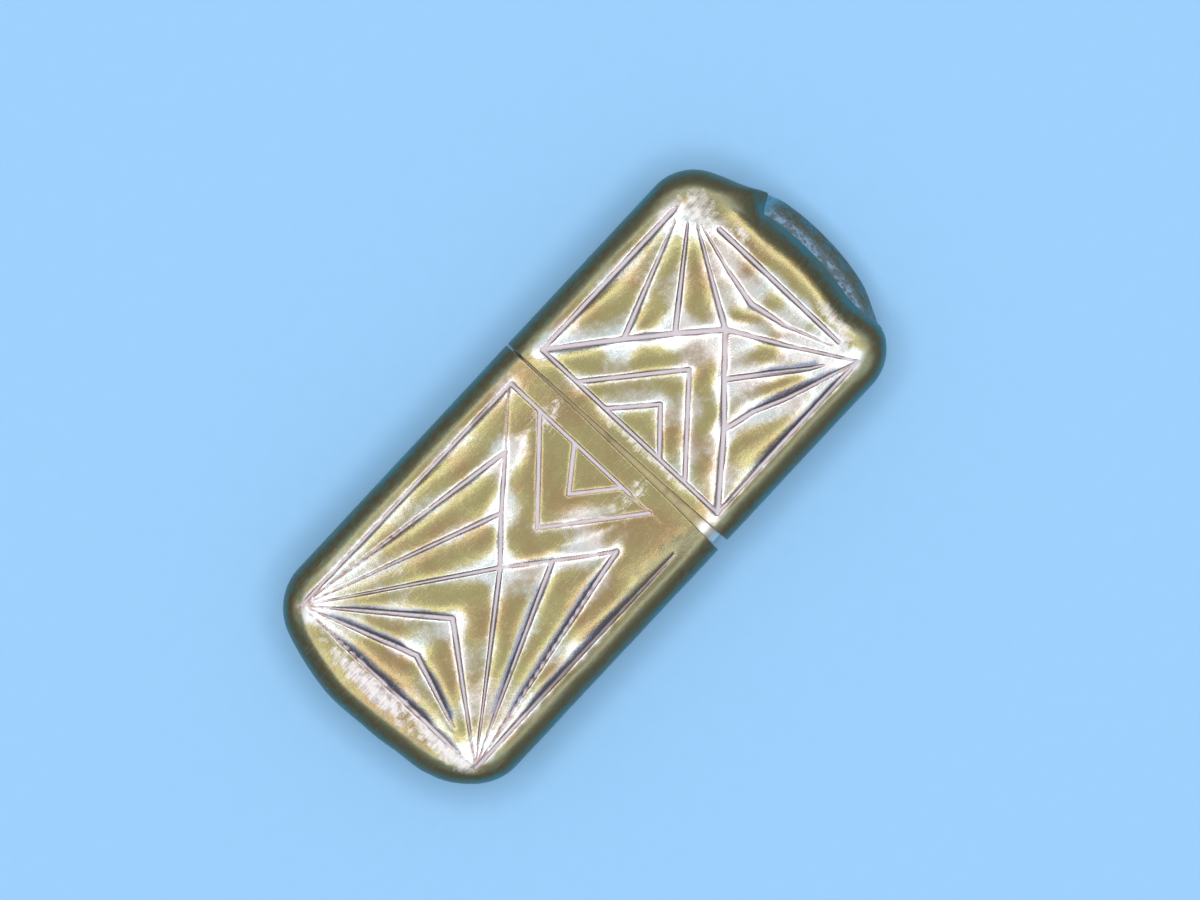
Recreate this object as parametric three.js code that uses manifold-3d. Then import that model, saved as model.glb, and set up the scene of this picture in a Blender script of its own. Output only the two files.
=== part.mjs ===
// A flat pocket needle case of thin sheet brass: a body and a pull-off cap.
//
// The body and the cap are alike. Each is two pressed shells, a front and a back,
// that meet along the middle of the sides, with a curved plate let in between them
// across the end. A sleeve fixed in the body's mouth carries the cap, which slides
// off along +X.
//
// Frame: millimetres, +Z up, the back lying on z = 0. X runs along the case, with
// the cap at +X, and Y runs across it. The origin is under the middle of the case.

import * as THREE from 'three';
import { mergeVertices } from 'three/addons/utils/BufferGeometryUtils.js';
import Module from 'manifold-3d';

// ---- Driving dimensions ----------------------------------------------------

const caseLength = 60;
const caseWidth = 26;
const caseThickness = 8;

const shellWall = 0.5;
const sleeveWall = 0.3;
const solderGap = 0.06; // left between pieces that are soldered to each other

// The face: a rounded shoulder all round, then a low crown up to a flat middle.
const shoulderRadius = 2.2;
const crownRise = 0.45;
const crownInset = 8; // from the outline in to where the crown turns flat
const shoulderSteps = 5;
const crownSteps = 3;

// Each end is a shallow arc with a rounded corner at each side.
const bodyEnd = { arcRadius: 27, cornerRadius: 4.3 };
const capEnd = { arcRadius: 25, cornerRadius: 3.7 };
const arcSteps = 8;
const cornerSteps = 4;

// The two rims are a degree out of square, so a wedge opens towards -Y.
const bodyRim = { atPlusY: 3.55, atMinusY: 3.11 };
const capRim = { atPlusY: 3.68, atMinusY: 4.21 };

// The sleeve in the mouth, and how loosely the cap fits over it.
const sleeveInBody = 10;
const sleeveInCap = 9;
const sleeveFacePlay = 0.1;
const sleeveSidePlay = 0.3;

// The plate let in across each end.
const endPlateHeight = 2.7;
const endPlateWidth = 20.6;

// ---- Values that follow ----------------------------------------------------

const halfLength = caseLength / 2;
const halfWidth = caseWidth / 2;
const middleHeight = caseThickness / 2;
const shoulderHeight = middleHeight - crownRise;
const mouth = (bodyRim.atPlusY + bodyRim.atMinusY) / 2;
const beyond = 10; // how far the cutting blocks reach past the case

const wasm = await Module();
wasm.setup();

// ---- Colours ---------------------------------------------------------------

function brass(colour, roughness) {
  return new THREE.MeshStandardMaterial({ color: colour, roughness, metalness: 1 });
}

const shellBrass = brass(0x9c8a4c, 0.32);
const plateBrass = brass(0x5f7f7a, 0.45);
const sleeveBrass = brass(0xc9c4ae, 0.4);

// ---- Solids ----------------------------------------------------------------

// Turns a closed three.js geometry into a solid for joining and cutting.
function solid(geometry) {
  const bare = geometry.clone();
  bare.deleteAttribute('normal');
  bare.deleteAttribute('uv');
  const merged = mergeVertices(bare, 1e-5);
  return new wasm.Manifold(new wasm.Mesh({
    numProp: 3,
    vertProperties: Float32Array.from(merged.attributes.position.array),
    triVerts: Uint32Array.from(merged.index.array),
  }));
}

function geometryOf(manifold) {
  const mesh = manifold.getMesh();
  const geometry = new THREE.BufferGeometry();
  geometry.setAttribute('position', new THREE.BufferAttribute(mesh.vertProperties, 3));
  geometry.setIndex(new THREE.BufferAttribute(mesh.triVerts, 1));
  geometry.computeVertexNormals();
  return geometry;
}

// An upright block over a four-sided plan, between two heights.
function block(plan, low, high) {
  const shape = new THREE.Shape(plan.map(([x, y]) => new THREE.Vector2(x, y)));
  const geometry = new THREE.ExtrudeGeometry(shape, { depth: high - low, bevelEnabled: false });
  return solid(geometry.translate(0, 0, low));
}

// ---- The case's outline and section ----------------------------------------

// Half of one end in plan, from the side round the corner to the tip, moved in by
// inset. Points have x growing outwards from the middle of the case.
function endCurve({ arcRadius, cornerRadius }, inset) {
  const arc = arcRadius - inset;
  const corner = Math.max(cornerRadius - inset, 0.05);
  const arcCentre = halfLength - arcRadius;
  const cornerY = halfWidth - inset - corner;
  const lean = Math.asin(cornerY / (arc - corner)); // where the corner meets the arc
  const cornerX = arcCentre + (arc - corner) * Math.cos(lean);
  const points = [];
  for (let i = 0; i <= cornerSteps; i += 1) {
    const angle = THREE.MathUtils.lerp(Math.PI / 2, lean, i / cornerSteps);
    points.push([cornerX + corner * Math.cos(angle), cornerY + corner * Math.sin(angle)]);
  }
  for (let i = 1; i <= arcSteps / 2; i += 1) {
    const angle = lean * (1 - (2 * i) / arcSteps);
    points.push([arcCentre + arc * Math.cos(angle), arc * Math.sin(angle)]);
  }
  return points;
}

// The whole outline in plan, moved in by inset, anticlockwise from above.
function outline(inset) {
  const capHalf = endCurve(capEnd, inset);
  const bodyHalf = endCurve(bodyEnd, inset);
  const plusXPlusY = capHalf.slice(0, -1).reverse();
  const minusXPlusY = bodyHalf.map(([x, y]) => [-x, y]);
  const minusXMinusY = bodyHalf.slice(0, -1).reverse().map(([x, y]) => [-x, -y]);
  const plusXMinusY = capHalf.map(([x, y]) => [x, -y]);
  return [...plusXPlusY, ...minusXPlusY, ...minusXMinusY, ...plusXMinusY];
}

// The section of the upper half, offset inwards: pairs of inset from the outline
// and height above the middle, from the side up to the flat of the face.
function faceProfile(offset) {
  const radius = shoulderRadius - offset;
  const profile = [];
  for (let i = 0; i <= shoulderSteps; i += 1) {
    const angle = (i / shoulderSteps) * (Math.PI / 2) * 0.94;
    profile.push([
      shoulderRadius - radius * Math.cos(angle),
      shoulderHeight - shoulderRadius + radius * Math.sin(angle),
    ]);
  }
  for (let i = 1; i <= crownSteps; i += 1) {
    const inset = THREE.MathUtils.lerp(shoulderRadius, crownInset, i / crownSteps);
    const fall = ((crownInset - inset) / (crownInset - shoulderRadius)) ** 2;
    profile.push([inset, shoulderHeight + crownRise * (1 - fall) - offset]);
  }
  return profile;
}

// The case as one closed pillow, offset inwards: rings of the outline, one for each
// point of the section, from the back's flat up to the front's.
function pillow(offset) {
  const upper = faceProfile(offset);
  const lower = upper.map(([inset, height]) => [inset, -height]).reverse();
  const rings = [...lower, ...upper];
  const positions = [];
  for (const [inset, height] of rings) {
    for (const [x, y] of outline(inset)) positions.push(x, y, middleHeight + height);
  }
  const count = outline(0).length;
  const top = rings[rings.length - 1][1];
  const backCentre = positions.length / 3;
  positions.push(0, 0, middleHeight - top);
  positions.push(0, 0, middleHeight + top);
  const index = [];
  for (let i = 0; i < count; i += 1) {
    const next = (i + 1) % count;
    for (let ring = 0; ring < rings.length - 1; ring += 1) {
      const a = ring * count;
      const b = a + count;
      index.push(a + i, a + next, b + next, a + i, b + next, b + i);
    }
    const last = (rings.length - 1) * count;
    index.push(backCentre, next, i);
    index.push(backCentre + 1, last + i, last + next);
  }
  const geometry = new THREE.BufferGeometry();
  geometry.setAttribute('position', new THREE.Float32BufferAttribute(positions, 3));
  geometry.setIndex(index);
  return solid(geometry);
}

// ---- The pieces ------------------------------------------------------------

const sheet = pillow(0).subtract(pillow(shellWall));
const outside = halfLength + beyond;
const across = halfWidth + beyond;

// Where a slanted rim line lies at the far edges of a cutting block.
function rimAt(rim, y) {
  return THREE.MathUtils.mapLinear(y, -halfWidth, halfWidth, rim.atMinusY, rim.atPlusY);
}

const bodyPlan = [
  [-outside, -across],
  [rimAt(bodyRim, -across), -across],
  [rimAt(bodyRim, across), across],
  [-outside, across],
];
const capPlan = [
  [rimAt(capRim, -across), -across],
  [outside, -across],
  [outside, across],
  [rimAt(capRim, across), across],
];

// A straight band across one end, in plan, for the plate or for its seat.
function endBand(side, width) {
  const inner = side * (halfLength - crownInset);
  const outer = side * outside;
  const [low, high] = [Math.min(inner, outer), Math.max(inner, outer)];
  return [[low, -width / 2], [high, -width / 2], [high, width / 2], [low, width / 2]];
}

// The shells and the end plate of the body or the cap.
function halves(plan, side) {
  const above = caseThickness + beyond;
  const half = solderGap / 2;
  const plateLow = middleHeight - endPlateHeight / 2;
  const plateHigh = middleHeight + endPlateHeight / 2;
  const seat = block(endBand(side, endPlateWidth + solderGap), plateLow - half, plateHigh + half);
  const plateBlock = block(endBand(side, endPlateWidth - solderGap), plateLow + half, plateHigh - half);
  return {
    front: sheet.intersect(block(plan, middleHeight + half, above)).subtract(seat),
    back: sheet.intersect(block(plan, -beyond, middleHeight - half)).subtract(seat),
    plate: sheet.intersect(plateBlock),
  };
}

// The sleeve's closed section as a three.js path, seen along +X: x is across the
// case and y is up. narrower is taken off each side.
function sectionPoints(offset, narrower) {
  const quarter = faceProfile(offset).map(([inset, height]) => [
    halfWidth - inset - narrower,
    height,
  ]);
  const mirror = (sideways, upwards, flip) => {
    const points = quarter.map(([y, z]) => new THREE.Vector2(sideways * y, middleHeight + upwards * z));
    return flip ? points.reverse() : points;
  };
  return [...mirror(1, 1, false), ...mirror(-1, 1, true), ...mirror(-1, -1, false), ...mirror(1, -1, true)];
}

function sleeveGeometry() {
  const outer = shellWall + sleeveFacePlay;
  const narrower = sleeveSidePlay - sleeveFacePlay;
  const shape = new THREE.Shape(sectionPoints(outer, narrower));
  shape.holes.push(new THREE.Path(sectionPoints(outer + sleeveWall, narrower).reverse()));
  const length = sleeveInBody + sleeveInCap;
  const geometry = new THREE.ExtrudeGeometry(shape, { depth: length, bevelEnabled: false });
  geometry.applyMatrix4(new THREE.Matrix4().makeBasis(
    new THREE.Vector3(0, 1, 0),
    new THREE.Vector3(0, 0, 1),
    new THREE.Vector3(1, 0, 0),
  ));
  return geometry.translate(mouth - sleeveInBody, 0, 0);
}

const needleCase = new THREE.Group();

function addPiece(name, geometry, material) {
  const mesh = new THREE.Mesh(geometry, material);
  mesh.name = name;
  needleCase.add(mesh);
}

const bodyPieces = halves(bodyPlan, -1);
addPiece('body_front_shell', geometryOf(bodyPieces.front), shellBrass);
addPiece('body_back_shell', geometryOf(bodyPieces.back), shellBrass);
addPiece('body_end_plate', geometryOf(bodyPieces.plate), plateBrass);
addPiece('inner_sleeve', sleeveGeometry(), sleeveBrass);

const capPieces = halves(capPlan, 1);
addPiece('cap_front_shell', geometryOf(capPieces.front), shellBrass);
addPiece('cap_back_shell', geometryOf(capPieces.back), shellBrass);
addPiece('cap_end_plate', geometryOf(capPieces.plate), plateBrass);

export default needleCase;
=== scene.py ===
"""A flat brass needle case: two pressed halves, a sleeve between them and the stage they lie on."""

import math

import bpy
import numpy as np
from bpy.props import FloatProperty, FloatVectorProperty, PointerProperty
from bpy.types import Operator, Panel, PropertyGroup
from mathutils import Matrix, Vector


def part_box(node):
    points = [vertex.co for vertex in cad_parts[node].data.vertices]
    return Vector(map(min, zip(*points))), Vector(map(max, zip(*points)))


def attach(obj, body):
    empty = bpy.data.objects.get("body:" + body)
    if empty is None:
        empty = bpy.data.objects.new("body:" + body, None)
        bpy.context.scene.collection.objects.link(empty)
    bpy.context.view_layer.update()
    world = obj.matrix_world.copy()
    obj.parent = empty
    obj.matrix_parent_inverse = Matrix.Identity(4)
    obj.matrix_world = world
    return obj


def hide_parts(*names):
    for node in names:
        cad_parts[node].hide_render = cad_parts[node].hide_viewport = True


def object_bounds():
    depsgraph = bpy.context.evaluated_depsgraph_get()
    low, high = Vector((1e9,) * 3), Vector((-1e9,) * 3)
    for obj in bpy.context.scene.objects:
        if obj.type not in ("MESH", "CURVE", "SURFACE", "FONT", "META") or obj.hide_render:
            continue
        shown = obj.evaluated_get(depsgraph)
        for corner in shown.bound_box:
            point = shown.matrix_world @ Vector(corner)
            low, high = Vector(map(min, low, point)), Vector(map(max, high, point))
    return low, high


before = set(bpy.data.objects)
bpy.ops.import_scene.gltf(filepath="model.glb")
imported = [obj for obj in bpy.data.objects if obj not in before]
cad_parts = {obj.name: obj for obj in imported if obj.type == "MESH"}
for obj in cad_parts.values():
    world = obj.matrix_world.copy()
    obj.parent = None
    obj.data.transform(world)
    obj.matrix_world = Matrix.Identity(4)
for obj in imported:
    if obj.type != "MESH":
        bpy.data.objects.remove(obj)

bl_info = {
    "name": "Needle Case",
    "version": (1, 0, 0),
    "blender": (4, 5, 0),
    "location": "View3D > Sidebar > Needle Case",
    "description": "Builds a flat brass needle case with pressed line relief round its packed frame",
    "category": "Add Mesh",
}

MM = 0.001
CASE_LOW, CASE_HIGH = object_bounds()
HALF_LENGTH = (CASE_HIGH.x - CASE_LOW.x) / 2
HALF_WIDTH = (CASE_HIGH.y - CASE_LOW.y) / 2
MIDDLE = (CASE_HIGH.z + CASE_LOW.z) / 2
HALF_THICKNESS = (CASE_HIGH.z - CASE_LOW.z) / 2

# The two halves of the case. outward is the way along X that the end points. The rim runs from
# its place at the +Y side to its place at the -Y side and bows by a little between them. worn
# says where the end is worn back: from one place across the case to another, and how far.
HALVES = {
    "body": {
        "outward": -1,
        "arc": 27 * MM,
        "corner": 5.2 * MM,
        "rim": (3.55 * MM, 3.11 * MM),
        "bow": 0.12 * MM,
        "worn": [
            (-8.5 * MM, -11.5 * MM, 0.4 * MM),
            (-7.5 * MM, -4 * MM, 0.33 * MM),
            (-1 * MM, 4 * MM, -0.33 * MM),
        ],
    },
    "cap": {
        "outward": 1,
        "arc": 25 * MM,
        "corner": 4.7 * MM,
        "rim": (3.68 * MM, 4.21 * MM),
        "bow": -0.03 * MM,
        "worn": [
            (3.5 * MM, 8 * MM, 0.8 * MM),
            (-6 * MM, -10 * MM, 0.5 * MM),
        ],
    },
}

# ---- The lines pressed into the faces ---------------------------------------
# Places in plan, in millimetres. A line is a run of points. deep is how crisp it is at its first
# and last point, fold is how far the sheet is drawn down beside it, and steep is how much
# steeper its left (positive) or right (negative) side is and how much painted slate shade lies
# there. A line of depth 0 is only a fold.


def line(*points, deep=(1, 1), fold=1.0, steep=0.0):
    return {"points": points, "deep": deep, "fold": fold, "steep": steep}


BODY_TOP_LEFT = (-25.45, 10.5)
BODY_TOP_RIGHT = (1.33, 10.35)
BODY_LOW_LEFT = (-25.5, -10.45)
BODY_CENTRE = (-11.1, 0)
UPPER_FORK = (-7.55, 3.2)
UPPER_TIP = (-3.37, 6.6)
LOWER_FORK = (-7.55, -2.95)
LOWER_TIP = (-3.1, -6.5)

BODY_LINES = [
    line(BODY_TOP_LEFT, BODY_TOP_RIGHT, deep=(0.7, 0.75)),
    line(BODY_TOP_LEFT, (-25.5, -6.8), deep=(0.4, 0.9), steep=1),
    line((-25.5, -6.8), BODY_LOW_LEFT, deep=(0.8, 0.1)),
    line(BODY_LOW_LEFT, (-12, -10.4), (0.1, -10.4), deep=(0.8, 0.6), steep=1),
    line(BODY_TOP_RIGHT, (1.33, -3.9), deep=(0.85, 0.8), fold=0.25),
    line((1.33, -3.9), (1.33, -9.8), deep=(0.5, 0.1), fold=0.1),
    line(BODY_TOP_LEFT, BODY_CENTRE, deep=(0.35, 0.8)),
    line(BODY_CENTRE, LOWER_FORK, LOWER_TIP, deep=(0.8, 0.7)),
    line(BODY_LOW_LEFT, BODY_CENTRE, deep=(0.35, 0.9)),
    line(BODY_CENTRE, UPPER_FORK, UPPER_TIP, deep=(0.9, 0.7)),
    line(UPPER_TIP, (0.75, 10.1), deep=(0.6, 0.4), fold=0.5),
    line(BODY_TOP_LEFT, UPPER_TIP, deep=(0.35, 0.9), steep=-0.4),
    line(BODY_TOP_LEFT, UPPER_FORK, deep=(0.35, 0.8), steep=-0.4),
    line(BODY_LOW_LEFT, LOWER_TIP, deep=(0.35, 0.9), steep=0.9),
    line(BODY_LOW_LEFT, LOWER_FORK, deep=(0.35, 0.9), steep=0.9),
    line(BODY_TOP_LEFT, (-17.2, 0), deep=(0.4, 1), steep=0.7),
    line((-17.2, 0), BODY_LOW_LEFT, deep=(1, 0.4)),
    line(BODY_TOP_LEFT, (-21.7, 0.1), deep=(0.4, 1), steep=1),
    line((-21.7, 0.1), (-24.2, -6.6), deep=(1, 0.5), steep=1),
    line((1.33, 6.85), (-6.35, 0), (1.33, -6.3), deep=(0.9, 0.8), fold=0.3),
    line((1.2, 2.6), (-2.3, 0), (1.25, -3.0), deep=(0.9, 0.8), fold=0.25),
    line((0.6, 6.7), (-1.9, 6.3), (-4.2, 5.1), deep=(0, 0), fold=0.6),
    line((1.0, -4.1), (-0.7, -3.7), (-3.1, -2.1), (-5.4, -0.9), deep=(0, 0), fold=0.5),
    line((-0.5, -5.4), (-4.4, -4.0), (-7.0, -2.1), deep=(0, 0), fold=0.6),
]

CAP_HIGH_LEFT = (5.37, 10.35)
CAP_LOW_LEFT = (5.37, -10.7)
CAP_CENTRE = (17.6, -0.2)
CAP_LOW_RIGHT = (23.5, -10.6)
HIGH_FORK = (10.95, 5.75)
HIGH_INNER = (14.35, 2.8)
LOW_FORK = (11.1, -6.1)
LOW_INNER = (14.35, -3.1)
CAP_POINT = (20.8, -0.3)

CAP_LINES = [
    line(CAP_HIGH_LEFT, CAP_LOW_LEFT, deep=(0.8, 0.8), fold=0.7),
    line(CAP_HIGH_LEFT, (22.2, 10.3), deep=(0.8, 0.9), steep=-0.5),
    line((22.2, 10.3), (23.6, 10.2), deep=(0.7, 0)),
    line(CAP_LOW_LEFT, CAP_LOW_RIGHT, deep=(0.7, 0.8), steep=0.8),
    line((23.7, 6.2), (23.6, -8.2), deep=(0.9, 0.8)),
    line(CAP_HIGH_LEFT, HIGH_FORK, HIGH_INNER, CAP_CENTRE, steep=-0.3),
    line(CAP_LOW_LEFT, LOW_FORK, LOW_INNER, CAP_CENTRE),
    line(CAP_CENTRE, (22.6, 7.8), deep=(1, 0.5)),
    line(CAP_CENTRE, (18.5, -1.8), (20.2, -5.0), (22.0, -8.0), CAP_LOW_RIGHT, deep=(1, 0.5)),
    line(HIGH_FORK, (21.6, 9.6), deep=(1, 0.5)),
    line(HIGH_INNER, (22.2, 8.6), deep=(1, 0.5)),
    line(CAP_POINT, (21.55, 3.1), (22.9, 7.6), deep=(1, 0.4)),
    line(CAP_POINT, (21.4, -3.6), (22.9, -7.9), deep=(1, 0.4)),
    line(LOW_FORK, (14.0, -6.9), (16.7, -8.2), (19.4, -9.2), CAP_LOW_RIGHT, deep=(1, 0.5), steep=1),
    line(LOW_INNER, (17.6, -5.8), (20.2, -8.0), (21.2, -8.6), deep=(1, 0.5), steep=0.9),
    line((5.5, 6.1), (12.9, -0.25), (5.5, -6.65), deep=(0.85, 0.85), fold=0.8),
    line((5.5, 2.65), (8.95, -0.5), (5.5, -3.6), deep=(0.85, 0.85), fold=0.8),
]

# Where the yellow skin is rubbed through to the pale metal: the patch's middle and half sizes
# in plan, in millimetres, and how strongly.
BODY_RUBBED = [
    ((-26.5, 0.8), (1.2, 6.2), 1.2),
    ((-26.0, -6.5), (1.2, 3.6), 1.1),
    ((-26.0, -9.8), (1.5, 1.4), 0.9),
    ((-25.6, 10.6), (1.0, 1.0), 0.5),
    ((1.4, 6.1), (2.6, 1.3), 0.75),
    ((1.6, -4.1), (2.4, 1.1), 0.75),
]
CAP_RUBBED = [
    ((24.0, 9.0), (1.8, 2.2), 0.95),
    ((22.6, -8.6), (3.4, 0.9), 0.8),
    ((5.0, -2.0), (0.7, 9.0), 0.75),
    ((24.9, -6.2), (0.9, 3.0), 0.95),
    ((24.8, 4.4), (0.6, 1.6), 0.8),
]

# Where shade is painted into the skin to damp its highlights, in the same way.
BODY_PAINTED_SHADE = [
    ((-1.5, -10.6), (7.0, 1.6), 0.9),
    ((-12.0, -11.8), (15.0, 1.3), 1.0),
    ((-28.3, -5.0), (0.9, 5.5), 1.0),
]
CAP_PAINTED_SHADE = [
    ((26.6, 9.4), (3.4, 3.8), 1.0),
    ((20.0, 11.6), (12.0, 0.9), 0.7),
    ((26.4, 3.0), (1.0, 5.0), 0.7),
    ((27.2, -9.4), (1.8, 2.6), 0.9),
    ((17.0, -11.8), (12.0, 1.3), 1.0),
    ((12.0, -11.6), (9.0, 1.2), 0.8),
]

PATTERNS = {"body": (BODY_LINES, BODY_RUBBED, BODY_PAINTED_SHADE), "cap": (CAP_LINES, CAP_RUBBED, CAP_PAINTED_SHADE)}


# ---- Settings ----------------------------------------------------------------


def length_property(name, description, default):
    return FloatProperty(name=name, description=description, default=default, unit="LENGTH", precision=5)


def power_property(name, description, default):
    return FloatProperty(name=name, description=description, default=default, unit="POWER")


def colour_property(name, description, default):
    return FloatVectorProperty(
        name=name, description=description, default=default, subtype="COLOR", min=0, max=1
    )


class NeedleCaseSizes(PropertyGroup):
    wall: length_property("Sheet", "Thickness of the shells' sheet", 0.5 * MM)
    shoulder: length_property("Shoulder", "Radius of the rounded edge of the faces", 2.2 * MM)
    crown: length_property("Crown", "How far the face's middle stands above its shoulders", 0.3 * MM)
    crown_reach: length_property("Crown reach", "How far in from the sides the crown turns flat", 8 * MM)
    relief: length_property("Relief", "How far the fields stand above the lines", 0.25 * MM)
    slope: length_property("Slope", "Width of the slope down to a line", 0.8 * MM)
    groove: length_property("Groove", "Depth of the cut line itself", 0.05 * MM)
    groove_width: length_property("Groove width", "Half the width of the cut line", 0.22 * MM)
    steep: length_property("Steep sides", "How much deeper the steep sides are drawn", 0.08 * MM)
    rim_round: length_property("Rim round", "Radius worn on the rims' outer edge", 0.12 * MM)
    waviness: length_property("Waviness", "How far the sheet wanders from its true form", 0.05 * MM)
    step: length_property("Mesh step", "Distance between the points of a face", 0.16 * MM)
    seam: length_property("Seam", "Half the gap along a soldered seam", 0.03 * MM)
    plate_height: length_property("End plate", "Height of the plates that close the ends", 2.7 * MM)
    plate_width: length_property("End plate width", "Width of the plates that close the ends", 20.6 * MM)
    sleeve_wall: length_property("Sleeve sheet", "Thickness of the sleeve's sheet", 0.3 * MM)


class NeedleCaseColours(PropertyGroup):
    olive: colour_property("Olive skin", "Yellow-olive skin of the fields", (0.33, 0.29, 0.135))
    brown: colour_property("Brown skin", "Browner patches of the fields", (0.31, 0.215, 0.11))
    pale: colour_property("Pale metal", "Pinkish metal where the skin is rubbed off", (0.66, 0.61, 0.58))
    line: colour_property("Line", "Lilac-grey bottoms of the pressed lines", (0.52, 0.46, 0.49))
    # painted shade: blue-grey standing in for the dark reflection down the steep sides
    painted_slate_shade: colour_property("Slate", "Blue-grey tarnish down the steep sides", (0.14, 0.15, 0.19))
    # painted shade: the shoulders' dark greenish colour stands in for their dark reflection
    shoulder: colour_property("Shoulder", "Dark greenish skin of the rounded shoulders", (0.15, 0.18, 0.12))
    # darker along the grooves' edges
    groove_edge_colour: colour_property("Groove edge", "Dark lines along the grooves' edges", (0.28, 0.19, 0.18))
    # painted shade and painted reflection: dark blue-green for the blue paper seen in the sides
    flank_painted_reflection: colour_property("Flank", "Dark blue-green tarnish of the sides", (0.08, 0.25, 0.25))
    # partly tarnish, partly painted reflection of the blue paper
    verdigris_and_reflection: colour_property("Verdigris", "Blue-green tarnish of the end plates", (0.12, 0.25, 0.26))
    # partly old solder, partly painted reflection of the blue paper on the leaning plate
    solder_and_reflection: colour_property("Solder", "Grey-blue old solder on the end plates", (0.52, 0.62, 0.68))
    # partly painted shade: the sleeve's metal is darkened for the gap it sits in
    sleeve: colour_property("Sleeve", "Bare metal of the sleeve", (0.33, 0.27, 0.14))
    floor: colour_property("Paper", "Pale blue paper that the case lies on", (0.355, 0.655, 0.99))


class NeedleCaseStage(PropertyGroup):
    camera_height: length_property("Camera height", "Height of the camera above the case", 295.8 * MM)
    lens: FloatProperty(name="Lens", description="Focal length of the camera", default=100, unit="CAMERA")
    turn: FloatProperty(
        name="Turn",
        description="How far the case's length is turned from the picture's width",
        default=math.radians(46.98),
        subtype="ANGLE",
    )
    ring_power: power_property("Ring power", "Power of each lamp of the ring", 0.25)
    top_power: power_property("Top power", "Power of the wide lamp overhead", 1.5)
    lamp_distance: length_property("Lamp distance", "Distance of the ring's lamps", 0.7)
    sky: FloatProperty(name="Sky", description="Strength of the even light from all round", default=0.41)


class NeedleCaseSettings(PropertyGroup):
    sizes: PointerProperty(type=NeedleCaseSizes)
    colours: PointerProperty(type=NeedleCaseColours)
    stage: PointerProperty(type=NeedleCaseStage)


# ---- Form of a pressed shell -------------------------------------------------

SMALLEST_CORNER = 0.02 * MM
CORNER_POINTS = 24
ARC_POINTS = 120
WEAR_SETS_IN = (16 * MM, 26 * MM)  # between these places along the half the end's wear grows
CROWN_BLEND = 1.2 * MM  # how softly the falls to the sides and to the end meet
NEAR_RIM = np.array([0, 0.05, 0.1, 0.18]) * MM  # columns that stand close together at the rim
RIM_MARGIN = 0.3 * MM  # where the even columns begin
SEAT_STEP = 0.0002  # half the step between the two columns at a seat's end, of the whole run
RIM_SLANT = (1 * MM, 8 * MM)  # between these distances from the rim its slant dies away
STEEPEST_START = 0.95  # sine of the steepest angle that a shoulder starts at
FACES_END = 0.5  # least part of its normal along the case where an edge belongs to the end


def smooth(value, low, high):
    """0 below low, 1 above high and a smooth step between."""
    t = np.clip((value - low) / (high - low), 0, 1)
    return t * t * (3 - 2 * t)


def end_path(half, inset, stations):
    """Points and outward normals in plan round one half, moved in by inset from the outline.

    The path runs from the rim at the +Y side round the end to the rim at the -Y side.
    stations(length) gives the distances along it. x grows outwards, whichever the half.
    """
    width = HALF_WIDTH - inset
    corner = min(max(half["corner"] - inset, SMALLEST_CORNER), width)
    arc = half["arc"] - inset
    centre = HALF_LENGTH - half["arc"]
    corner_y = width - corner
    lean = math.asin(corner_y / (arc - corner))
    corner_x = centre + (arc - corner) * math.cos(lean)
    rim = half["outward"] * rim_at(half, 0)

    turn = np.linspace(math.pi / 2, lean, CORNER_POINTS)
    sweep = np.linspace(lean, -lean, ARC_POINTS)[1:-1]
    round_corner = np.column_stack([corner_x + corner * np.cos(turn), corner_y + corner * np.sin(turn)])
    end_arc = np.column_stack([centre + arc * np.cos(sweep), arc * np.sin(sweep)])
    other_corner = round_corner[::-1] * (1, -1)
    points = np.vstack([[(rim, width)], round_corner, end_arc, other_corner, [(rim, -width)]])
    angles = np.concatenate([[math.pi / 2], turn, sweep, -turn[::-1], [-math.pi / 2]])

    run = np.concatenate([[0], np.cumsum(np.hypot(*np.diff(points, axis=0).T))])
    at = stations(run[-1])
    place = np.column_stack([np.interp(at, run, points[:, 0]), np.interp(at, run, points[:, 1])])
    angle = np.interp(at, run, angles)
    return place, np.column_stack([np.cos(angle), np.sin(angle)])


def rim_at(half, y):
    """x of the rim line at y, with its bow."""
    at_plus, at_minus = half["rim"]
    bow = half["bow"] * (1 - (y / HALF_WIDTH) ** 2)
    return at_minus + (at_plus - at_minus) * (y + HALF_WIDTH) / (2 * HALF_WIDTH) + bow


def end_worn(half, x, y):
    """How far the end is worn back, with x growing outwards."""
    depth = 0
    for start, full, amount in half["worn"]:
        depth = depth + amount * smooth((y - start) / (full - start), 0, 1)
    return depth * smooth(x, *WEAR_SETS_IN)


def face_height(half, place, sizes):
    """Height of the crowned face above the middle, at places in plan."""
    from_side = HALF_WIDTH - np.abs(place[..., 1])
    centre = HALF_LENGTH - half["arc"]
    from_end = half["arc"] - np.hypot(np.maximum(place[..., 0] - centre, 0), place[..., 1])
    inset = -CROWN_BLEND * np.log(np.exp(-from_side / CROWN_BLEND) + np.exp(-from_end / CROWN_BLEND))
    fall = np.clip((sizes.crown_reach - inset) / (sizes.crown_reach - sizes.shoulder), 0, None)
    return HALF_THICKNESS - sizes.crown * fall**2


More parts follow.
